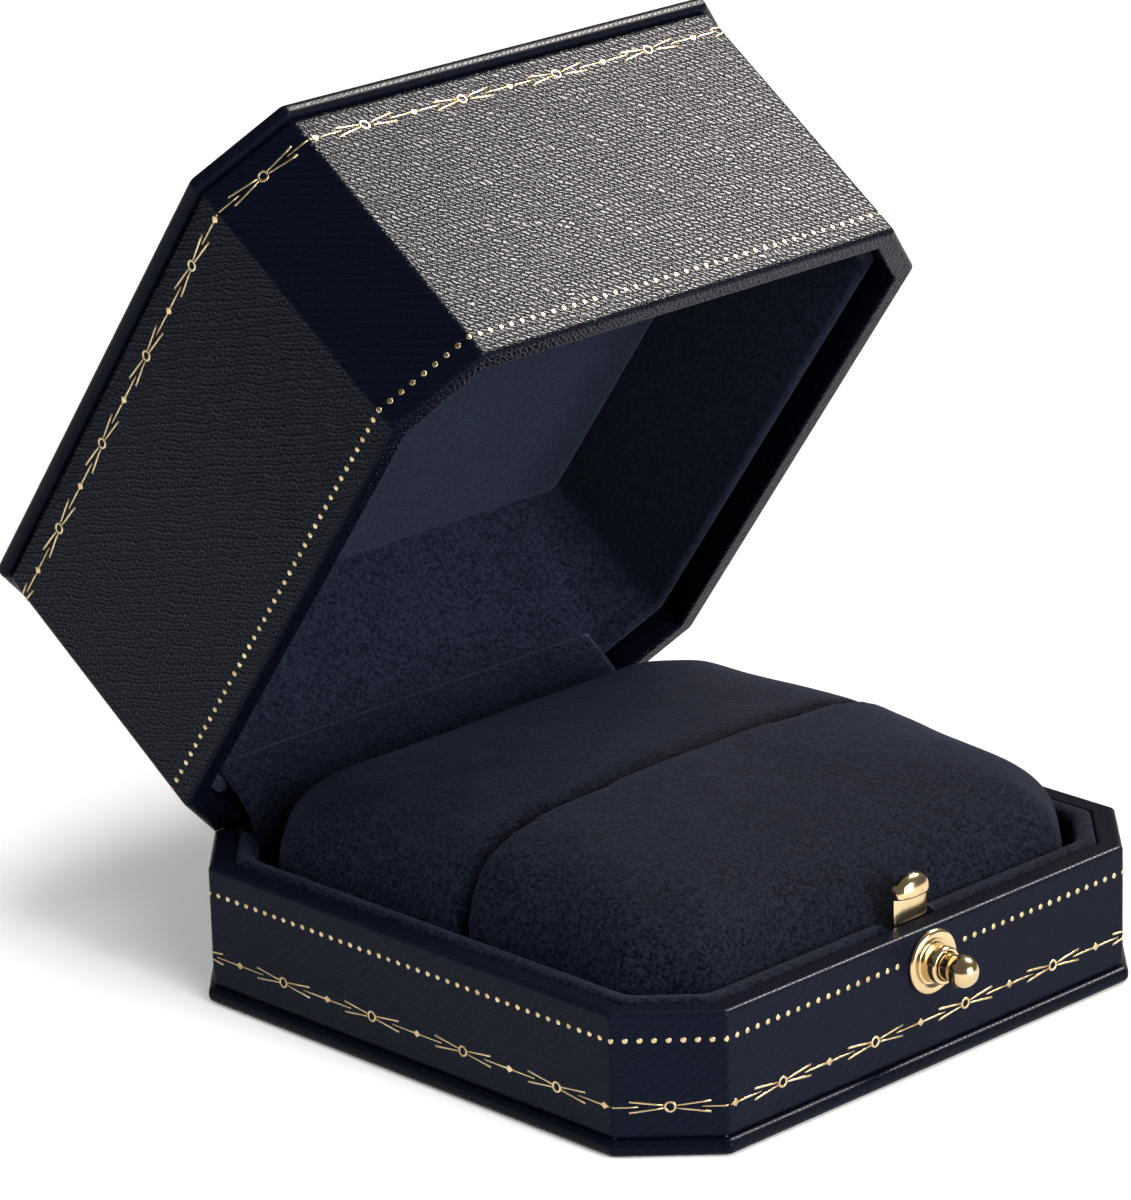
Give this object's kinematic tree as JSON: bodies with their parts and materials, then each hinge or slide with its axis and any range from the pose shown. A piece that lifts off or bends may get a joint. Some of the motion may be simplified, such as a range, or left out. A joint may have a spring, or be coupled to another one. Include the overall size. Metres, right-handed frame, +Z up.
{
  "type": "ring box",
  "caption": "Octagonal hinged ring box with a padded velvet cushion split by a ring slot, a deep padded lid and a push-button catch.",
  "frame": {"origin": "centre of the flat underside", "axes": "+Z up; -Y is the front, with the push button; +Y is the hinge side; +X is to the right seen from the front"},
  "size_m": [0.0712, 0.1018, 0.0896],
  "materials": {
    "leather": "fine cross-grained, satin, gilt-tooled",
    "velvet": "short-pile velvet",
    "board": "raw fibre board",
    "brass": "polished",
    "spring_steel": "plain"
  },
  "bodies": {
    "base": {"bottom_plate": "leather", "base_frame": "board", "base_cover": "leather", "base_collar": "velvet", "pad_board": "board", "front_pad": "velvet", "back_pad": "velvet", "hinge_base_leaf": "brass", "hinge_pin": "spring_steel", "hinge_spring": "spring_steel", "leather_spine": "leather", "velvet_flap": "velvet", "button_flange": "brass", "catch_rivets": "brass"},
    "lid": {"top_plate": "leather", "lid_frame": "board", "lid_cover": "leather", "lid_liner": "velvet", "ceiling_board": "board", "ceiling_pad": "velvet", "back_panel": "velvet", "hinge_lid_leaf": "brass", "strike_plate": "brass", "strike_rivets": "brass"},
    "button": {"push_button": "brass"},
    "catch": {"catch_leaf": "brass"}
  },
  "joints": [
    {"name": "lid_hinge", "type": "hinge", "parent": "base", "child": "lid", "pos_m": [0, 0.0341, 0.0141], "axis": [-1, 0, 0], "range_deg": [-54.5, 0], "deforming": ["leather_spine", "velvet_flap", "hinge_spring"]},
    {"name": "button_press", "type": "slide", "parent": "base", "child": "button", "axis": [0, 1, 0], "range_m": [0, 0.0007], "stiffness_N_per_m": 600, "springref_m": -0.0003},
    {"name": "catch_flex", "type": "hinge", "parent": "base", "child": "catch", "pos_m": [0, -0.03225, 0.003], "axis": [-1, 0, 0], "range_deg": [0, 5.4]}
  ],
  "couplings": [
    {"joint": "catch_flex", "follows": "button_press", "rad_per_m": 131.58}
  ]
}
